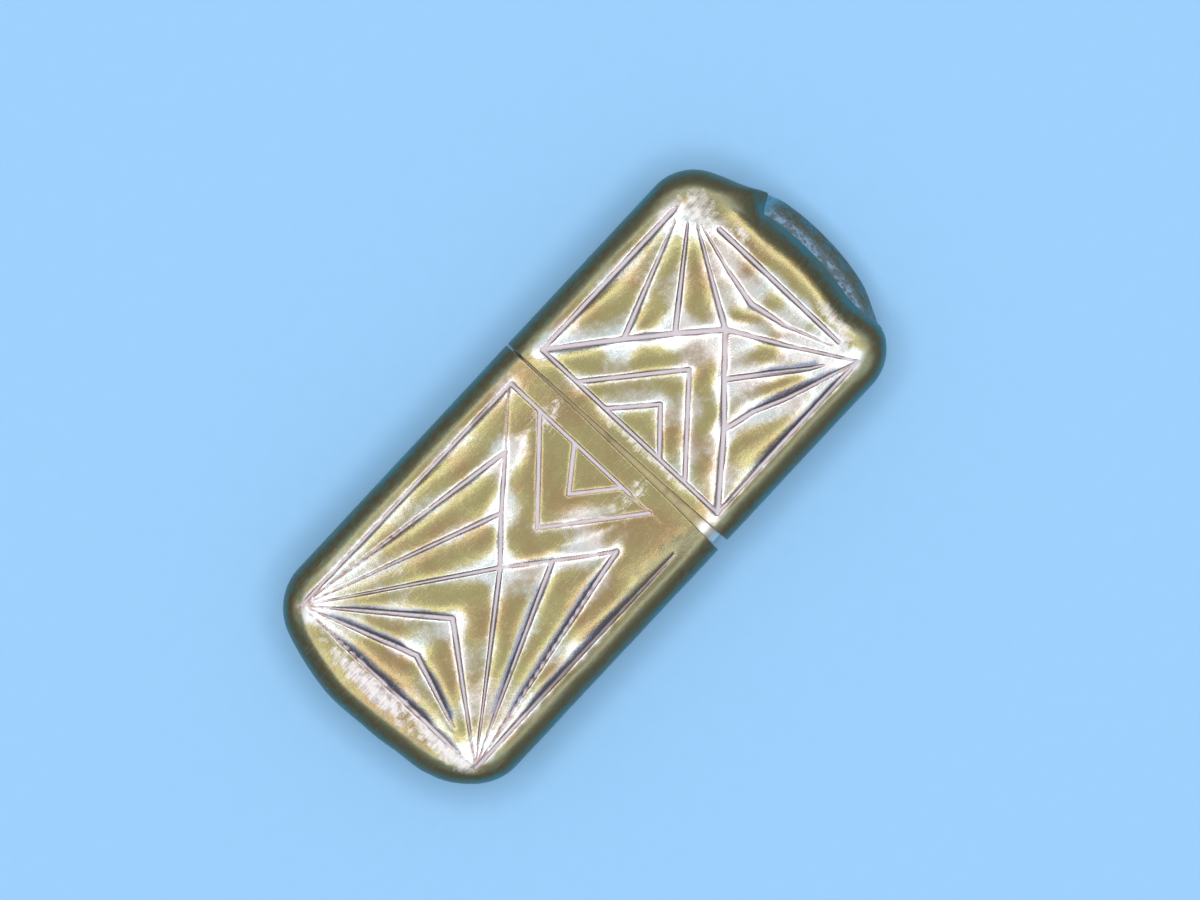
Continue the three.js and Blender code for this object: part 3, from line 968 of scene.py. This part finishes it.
@once
def shell_brass(settings):
    """Brass with an olive skin, pinkish and bare in the lines and where it is rubbed, with painted shade,
    painted highlight tints and painted reflection laid into its colour.
    """
    colours = settings.colours
    r = Recipe("pressed_brass")
    distance = r.number("line_distance")
    rubbed = r.number("rubbed")
    hollow = r.number("hollow")
    rim = r.number("edge")
    flank_painted_reflection = r.number("flank_painted_reflection")
    shoulder = r.number("shoulder")
    steep = r.number("steep")
    outside = r.number("outside")

    cloud = r.noise(0.22, detail=4)
    fleck = r.noise(1.6, detail=5, offset=7)
    grain = r.noise(9, offset=3)
    along = r.noise(1.0, detail=4, roughness=0.7, stretch=(0.35, 9, 1), turn=1.15)
    across = r.noise(1.0, detail=4, roughness=0.7, stretch=(0.5, 5, 1), turn=0.12, offset=11)
    uneven = r.minus(fleck, 0.5)
    flecked = r.plus(fleck, 0.5)

    # the skin of the fields
    skin = r.cover(r.plus(cloud, r.times(fleck, 0.25)), 0.5, 0.8, colours.olive, colours.brown)
    skin = r.cover(fleck, 0.55, 0.8, skin, LIGHT_SKIN, most=0.5)
    skin = r.cover(grain, 0.58, 0.75, skin, SKIN_GRAIN, most=0.45)

    # the slopes beside the lines are worn paler and carry a painted highlight tint, and the steep ones get
    # painted slate shade
    pale = r.cover(cloud, 0.4, 0.6, COOL_WORN_HIGHLIGHT_PALE, colours.pale)
    # partly wear, partly painted highlight: pale near the lines so that their glints read white
    colour = r.cover(r.plus(hollow, r.times(uneven, 0.5)), 0.3, 0.8, skin, pale, most=0.9)
    # painted shade: slate laid down the steep sides of the lines
    colour = r.cover(r.times(steep, flecked), 0.12, 0.7, colour, colours.painted_slate_shade)

    # painted shade: dark patches that damp highlights, and dark shoulders
    painted_shade = r.step(r.plus(r.number("painted_shade"), r.times(cloud, 0.6)), 0.5, 1.1)
    painted_shade = r.times(painted_shade, r.minus(1.0, r.times(hollow, 0.5)))
    colour = r.mix(painted_shade, colour, PAINTED_SHADE_PATCH)
    # painted shade of the shoulders, with brown, grain and scratch marks in it
    shade = r.cover(fleck, 0.4, 0.62, colours.shoulder, SHADE_BROWN)
    shade = r.cover(grain, 0.5, 0.7, shade, SHADE_GRAIN, most=0.5)
    shade = r.cover(along, 0.58, 0.7, shade, SHADE_SCRATCH, most=0.25)
    colour = r.cover(shoulder, 0.0, 0.8, colour, shade)

    # scratches show bare metal, more so where the skin is rubbed
    scratch = r.larger(r.step(along, 0.62, 0.74), r.step(across, 0.6, 0.72))
    streaks = r.plus(across, r.times(r.plus(fleck, grain), 1.2))
    bare = r.step(r.plus(rubbed, streaks), 2.1, 2.9)
    bare = r.larger(bare, r.step(r.times(rim, flecked), 0.3, 0.8))
    metal = r.cover(fleck, 0.35, 0.6, BARE_GREY, colours.pale)
    metal = r.cover(across, 0.52, 0.62, metal, BARE_STREAK)
    colour = r.mix(r.larger(bare, r.times(scratch, 0.2)), colour, metal)
    # painted shade laid over the bare metal too
    colour = r.mix(r.times(painted_shade, 0.5), colour, PAINTED_SHADE_OVER_BARE)

    # the cut line: flat pale bottom between thin dark edges
    ragged = r.plus(distance, r.times(uneven, 0.12))
    bottom = r.minus(1.0, r.step(ragged, 0.17, 0.24))
    edge = r.times(r.step(ragged, 0.15, 0.22), r.minus(1.0, r.step(ragged, 0.24, 0.34)))
    colour = r.mix(bottom, colour, colours.line)
    colour = r.mix(r.times(edge, r.step(r.noise(0.8, offset=5), 0.3, 0.6)), colour, colours.groove_edge_colour)

    # painted shade and painted reflection of the blue paper on the flanks, mottled; the inside is dull
    mottle = r.step(r.noise(0.35, detail=5, offset=13), 0.42, 0.66)
    mottle = r.plus(0.3, r.times(mottle, 0.5))
    colour = r.mix(r.times(r.step(flank_painted_reflection, 0.2, 0.8), mottle), colour, colours.flank_painted_reflection)
    colour = r.mix(r.minus(1.0, outside), colour, INSIDE)

    matt = r.larger(r.larger(bare, bottom), r.times(shoulder, 0.6))
    roughness = r.plus(r.plus(0.2, r.times(grain, 0.12)), r.times(matt, 0.24))
    height = r.plus(r.step(distance, 0.12, 0.3), r.times(scratch, -0.12))
    normal = r.bump(height, 0.015 * MM)
    normal = r.bump(r.plus(fleck, r.times(grain, 0.3)), 0.02 * MM, normal)
    return r.finish(colour, roughness, normal)


@once
def plate_brass(settings):
    """Plate with brown specks, blue-green tarnish and old solder, both partly painted reflection of the
    blue paper, and a bright blue patch of painted reflection by the dent.
    """
    colours = settings.colours
    r = Recipe("plate_tarnish_and_reflection")
    cloud = r.noise(0.9, detail=4)
    speck = r.noise(3.0, detail=4, offset=4)
    inset = r.plus(r.number("inset"), r.times(r.minus(cloud, 0.5), 1.2))
    # partly tarnish and solder, partly painted reflection of the blue paper
    colour = r.cover(inset, 0.4, 0.9, colours.verdigris_and_reflection, PLATE_SKIN)
    colour = r.cover(inset, 0.9, 1.5, colour, colours.solder_and_reflection)
    colour = r.cover(r.plus(cloud, r.times(speck, 0.5)), 0.62, 0.82, colour, PLATE_BROWN, most=0.7)
    colour = r.cover(speck, 0.58, 0.68, colour, PLATE_SPECK, most=0.5)
    # painted reflection: a bright blue patch by the dent
    colour = r.mix(r.times(r.number("begin"), r.step(speck, 0.25, 0.5)), colour, PLATE_BLUE_REFLECTION)
    roughness = r.plus(0.3, r.times(speck, 0.35))
    return r.finish(colour, roughness, r.bump(speck, 0.08 * MM))


def sleeve_metal(settings):
    """Brassy metal darkened with painted shade, scratched along the way that the cap slides, with a painted
    highlight at one side.
    """
    r = Recipe("sleeve_with_painted_light")
    drag = r.noise(1.0, detail=5, roughness=0.7, stretch=(0.25, 7, 7))
    mottle = r.noise(0.5, detail=4, offset=9)
    colour = r.cover(mottle, 0.45, 0.7, settings.colours.sleeve, SLEEVE_STAIN)
    colour = r.cover(drag, 0.5, 0.75, colour, SLEEVE_SCRATCH, most=0.6)
    # painted highlight at the -Y side
    colour = r.mix(r.number("bright"), colour, SLEEVE_PAINTED_HIGHLIGHT)
    roughness = r.plus(0.3, r.times(drag, 0.2))
    return r.finish(colour, roughness, r.bump(drag, 0.02 * MM))


def paper(settings):
    """Plain paper with a faint tooth."""
    r = Recipe("backdrop_paper")
    tooth = r.noise(0.6, detail=5)
    floor = settings.colours.floor
    colour = r.cover(tooth, 0.3, 0.7, floor, [PAPER_TOOTH * part for part in floor])
    r.shader.inputs["Specular IOR Level"].default_value = 0.2
    return r.finish(colour, 0.75, r.bump(tooth, 0.02 * MM), metallic=0.0)


# ---- Operators ---------------------------------------------------------------


class NEEDLECASE_OT_shells(Operator):
    """Presses the front and back shells of the body and the cap"""

    bl_idname = "needle_case.shells"
    bl_label = "Pressed Shells"

    def execute(self, context):
        for side in HALVES:
            for face in ("front", "back"):
                build_shell(side, face, context.scene.needle_case)
        return {"FINISHED"}


class NEEDLECASE_OT_end_plates(Operator):
    """Bends the plates that close the two ends"""

    bl_idname = "needle_case.end_plates"
    bl_label = "End Plates"

    def execute(self, context):
        for side in HALVES:
            build_end_plate(side, context.scene.needle_case)
        return {"FINISHED"}


class NEEDLECASE_OT_sleeve(Operator):
    """Bends the sleeve that stands in the body's mouth"""

    bl_idname = "needle_case.sleeve"
    bl_label = "Sleeve"

    def execute(self, context):
        build_sleeve(context.scene.needle_case)
        return {"FINISHED"}


class NEEDLECASE_OT_stage(Operator):
    """Lays the paper and sets up the soft lamps, the sky and the camera"""

    bl_idname = "needle_case.stage"
    bl_label = "Stage"

    def execute(self, context):
        settings = context.scene.needle_case
        lay_paper(settings)
        hang_lamps(settings)
        set_sky(context.scene, settings)
        set_camera(context.scene, settings)
        return {"FINISHED"}


PAPER_SIZE = 6
PAPER_GAP = 0.05 * MM  # how far below the case the paper lies
LAMP_COLOUR = (0.92, 0.96, 1.0)
RING_LAMPS = 10
RING_LEAN = math.radians(24)  # how far the ring's lamps stand off from straight above
RING_LAMP_SIZE = 0.17
TOP_LAMP_HEIGHT = 0.9
TOP_LAMP_SIZE = 1.16
SENSOR_WIDTH = 36
CLIP = (0.01, 10)
AIM = Vector((2.4 * MM, 0.64 * MM, MIDDLE))


def lay_paper(settings):
    bpy.ops.object.select_all(action="DESELECT")
    bpy.ops.mesh.primitive_plane_add(size=PAPER_SIZE)
    floor = bpy.context.active_object
    floor.name = "backdrop"
    floor.data.transform(Matrix.Translation((0, 0, -PAPER_GAP)))
    floor.data.materials.append(paper(settings))


def add_lamp(name, place, size, power):
    """A round soft lamp that faces the case."""
    bpy.ops.object.light_add(type="AREA", location=place)
    lamp = bpy.context.active_object
    lamp.name = name
    lamp.rotation_mode = "QUATERNION"
    lamp.rotation_quaternion = (-Vector(place)).to_track_quat("-Z", "Y")
    lamp.data.shape = "DISK"
    lamp.data.size = size
    lamp.data.energy = power
    lamp.data.color = LAMP_COLOUR


def hang_lamps(settings):
    """A ring of soft lamps round the camera and a wide soft lamp above it."""
    stage = settings.stage
    lean = Vector((math.sin(RING_LEAN), 0, math.cos(RING_LEAN)))
    for number in range(RING_LAMPS):
        turn = 2 * math.pi * number / RING_LAMPS
        place = Matrix.Rotation(turn, 3, "Z") @ lean * stage.lamp_distance
        add_lamp(f"ring_lamp_{number}", place, RING_LAMP_SIZE, stage.ring_power)
    add_lamp("top_lamp", Vector((0, 0, TOP_LAMP_HEIGHT)), TOP_LAMP_SIZE, stage.top_power)


def set_sky(scene, settings):
    world = bpy.data.worlds.new("studio")
    scene.world = world
    world.use_nodes = True
    background = world.node_tree.nodes["Background"]
    background.inputs["Color"].default_value = (1, 1, 1, 1)
    background.inputs["Strength"].default_value = settings.stage.sky


def set_camera(scene, settings):
    """Straight above, with the case's length turned across the picture."""
    stage = settings.stage
    data = bpy.data.cameras.new("camera")
    camera = bpy.data.objects.new("camera", data)
    scene.collection.objects.link(camera)
    data.lens = stage.lens
    data.sensor_width = SENSOR_WIDTH
    data.clip_start, data.clip_end = CLIP
    camera.location = AIM + Vector((0, 0, stage.camera_height))
    camera.rotation_euler = (0, 0, -stage.turn)
    scene.camera = camera
    scene.view_settings.view_transform = "Standard"


class NEEDLECASE_PT_panel(Panel):
    """Lists the pieces and the settings they are made from"""

    bl_idname = "NEEDLECASE_PT_panel"
    bl_label = "Needle Case"
    bl_space_type = "VIEW_3D"
    bl_region_type = "UI"
    bl_category = "Needle Case"

    def draw(self, context):
        for operator in OPERATORS:
            self.layout.operator(operator.bl_idname)
        settings = context.scene.needle_case
        for group in (settings.sizes, settings.colours, settings.stage):
            box = self.layout.box()
            for name in group.__annotations__:
                box.prop(group, name)


GROUPS = (NeedleCaseSizes, NeedleCaseColours, NeedleCaseStage, NeedleCaseSettings)
OPERATORS = (NEEDLECASE_OT_shells, NEEDLECASE_OT_end_plates, NEEDLECASE_OT_sleeve, NEEDLECASE_OT_stage)


def register():
    for part in (*GROUPS, *OPERATORS, NEEDLECASE_PT_panel):
        bpy.utils.register_class(part)
    bpy.types.Scene.needle_case = PointerProperty(type=NeedleCaseSettings)


def unregister():
    del bpy.types.Scene.needle_case
    for part in reversed((*GROUPS, *OPERATORS, NEEDLECASE_PT_panel)):
        bpy.utils.unregister_class(part)


def main():
    register()
    bpy.ops.needle_case.shells()
    bpy.ops.needle_case.end_plates()
    bpy.ops.needle_case.sleeve()
    bpy.ops.needle_case.stage()


if __name__ == "__main__":
    main()
